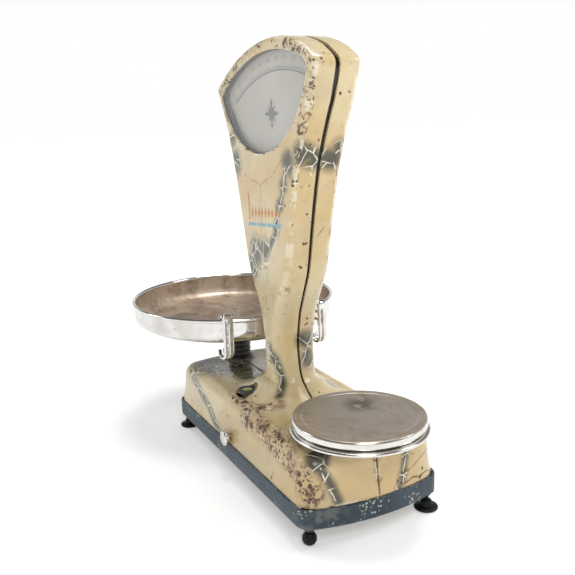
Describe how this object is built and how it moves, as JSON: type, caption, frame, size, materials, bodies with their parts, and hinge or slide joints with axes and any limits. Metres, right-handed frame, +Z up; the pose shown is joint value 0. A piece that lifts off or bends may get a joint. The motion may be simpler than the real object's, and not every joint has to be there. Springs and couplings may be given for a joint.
{
  "type": "counter pan scale",
  "caption": "Counter-top fan scale with a tapering two-shell tower, dial window, chrome goods bowl on the left and round weight plate on the right.",
  "frame": {"origin": "centre of the whole scale's footprint box, on the surface that its feet stand on", "axes": "+X from the goods bowl towards the weight plate, -Y out of the front dial, +Z up"},
  "size_m": [0.7345, 0.38, 0.688],
  "materials": {
    "frame_blue": "blue-grey enamel, chipped and worn grey along its edges",
    "enamel_cream": "cream enamel with marbled dark grey-green patches and fine veins, chipped along the edges",
    "frame_black": "matt black painted casting",
    "dial_grey": "aged pale grey printed dial",
    "seal_dark": "dark grey rubber",
    "window_glass": "clear flat glass",
    "vial_glass": "spirit level vial with pale yellow-green fluid",
    "collar_rubber": "black rubber",
    "steel": "plain turned steel, slightly dulled",
    "iron": "dark grey painted casting",
    "bowl_chrome": "chrome plate, tarnished brown inside the bowl",
    "plate_chrome": "chrome plate with a dulled and stained top",
    "bob_brass": "dulled brass",
    "pointer_black": "thin sheet, painted matt black",
    "knob_chrome": "worn chrome with rust at its edge",
    "foot_black": "black, with rubbed edges"
  },
  "bodies": {
    "root": {"base_frame": "frame_blue", "front_housing": "enamel_cream", "rear_housing": "enamel_cream", "tower_frame": "frame_black", "front_dial": "dial_grey", "rear_dial": "dial_grey", "front_window_seal": "seal_dark", "rear_window_seal": "seal_dark", "front_glass": "window_glass", "rear_glass": "window_glass", "level_ring": "seal_dark", "level_vial": "vial_glass", "goods_collar": "collar_rubber", "goods_collar_ring": "steel", "plate_collar": "collar_rubber", "bearing_stands": "iron", "dashpot_cylinder": "iron", "lock_nuts": "frame_black", "housing_screws": "steel"},
    "beam": {"beam": "iron", "beam_knife": "steel", "beam_pins": "steel"},
    "check_link": {"check_link": "iron", "check_link_pin": "steel"},
    "goods_support": {"goods_support": "iron", "goods_support_pins": "steel"},
    "bowl": {"bowl": "bowl_chrome", "bowl_grips": "bowl_chrome", "bowl_rivets": "bowl_chrome"},
    "weight_support": {"weight_support": "plate_chrome", "weight_support_pins": "steel"},
    "weight_plate": {"weight_plate": "plate_chrome"},
    "connecting_rod": {"connecting_rod": "steel"},
    "pendulum": {"crank": "steel", "pendulum_arm": "steel", "pendulum_bob": "bob_brass", "pointer_shaft": "steel", "front_pointer": "pointer_black", "rear_pointer": "pointer_black"},
    "dashpot_piston": {"dashpot_piston": "steel"},
    "lock_knob": {"lock_shaft": "steel", "lock_knob": "knob_chrome"},
    "foot_front_left": {"foot_front_left": "foot_black"},
    "foot_front_right": {"foot_front_right": "foot_black"},
    "foot_rear_left": {"foot_rear_left": "foot_black"},
    "foot_rear_right": {"foot_rear_right": "foot_black"}
  },
  "joints": [
    {"name": "beam_rock", "type": "hinge", "parent": "root", "child": "beam", "pos_m": [0.054, 0, 0.092], "axis": [0, -1, 0], "range_deg": [0, 4.5], "stiffness_Nm_per_rad": 22, "springref_deg": -4.58},
    {"name": "check_link_rock", "type": "hinge", "parent": "root", "child": "check_link", "pos_m": [0.054, 0, 0.05], "axis": [0, -1, 0], "range_deg": [0, 4.5]},
    {"name": "goods_pan_drop", "type": "slide", "parent": "root", "child": "goods_support", "axis": [0, 0, -1], "range_m": [0, 0.0168]},
    {"name": "weight_pan_rise", "type": "slide", "parent": "root", "child": "weight_support", "axis": [0, 0, 1], "range_m": [0, 0.0168]},
    {"name": "bowl_lift", "type": "slide", "parent": "goods_support", "child": "bowl", "axis": [-0.6, 0, 0.8], "range_m": [0, 0.12]},
    {"name": "weight_plate_lift", "type": "slide", "parent": "weight_support", "child": "weight_plate", "axis": [0, 0, 1], "range_m": [0, 0.08]},
    {"name": "rod_pull", "type": "slide", "parent": "root", "child": "connecting_rod", "axis": [0, 0, -1], "range_m": [0, 0.00475]},
    {"name": "pointer_swing", "type": "hinge", "parent": "root", "child": "pendulum", "pos_m": [0.092, 0, 0.337], "axis": [0, 1, 0], "range_deg": [0, 54]},
    {"name": "dashpot_stroke", "type": "slide", "parent": "root", "child": "dashpot_piston", "axis": [0, 0, 1], "range_m": [0, 0.0095]},
    {"name": "lock_knob_turn", "type": "hinge", "parent": "root", "child": "lock_knob", "pos_m": [0.048, -0.116, 0.068], "axis": [0, 1, 0], "range_deg": [0, 90]},
    {"name": "foot_front_left_screw", "type": "slide", "parent": "root", "child": "foot_front_left", "axis": [0, 0, -1], "range_m": [-0.006, 0.006]},
    {"name": "foot_front_right_screw", "type": "slide", "parent": "root", "child": "foot_front_right", "axis": [0, 0, -1], "range_m": [-0.002, 0.006]},
    {"name": "foot_rear_left_screw", "type": "slide", "parent": "root", "child": "foot_rear_left", "axis": [0, 0, -1], "range_m": [-0.006, 0.006]},
    {"name": "foot_rear_right_screw", "type": "slide", "parent": "root", "child": "foot_rear_right", "axis": [0, 0, -1], "range_m": [-0.006, 0.006]}
  ],
  "couplings": [
    {"joint": "check_link_rock", "follows": "beam_rock", "ratio": 1},
    {"joint": "goods_pan_drop", "follows": "beam_rock", "m_per_rad": 0.2135},
    {"joint": "weight_pan_rise", "follows": "beam_rock", "m_per_rad": 0.2135},
    {"joint": "rod_pull", "follows": "beam_rock", "m_per_rad": 0.06},
    {"joint": "dashpot_stroke", "follows": "beam_rock", "m_per_rad": 0.12},
    {"joint": "pointer_swing", "follows": "beam_rock", "ratio": 12}
  ]
}
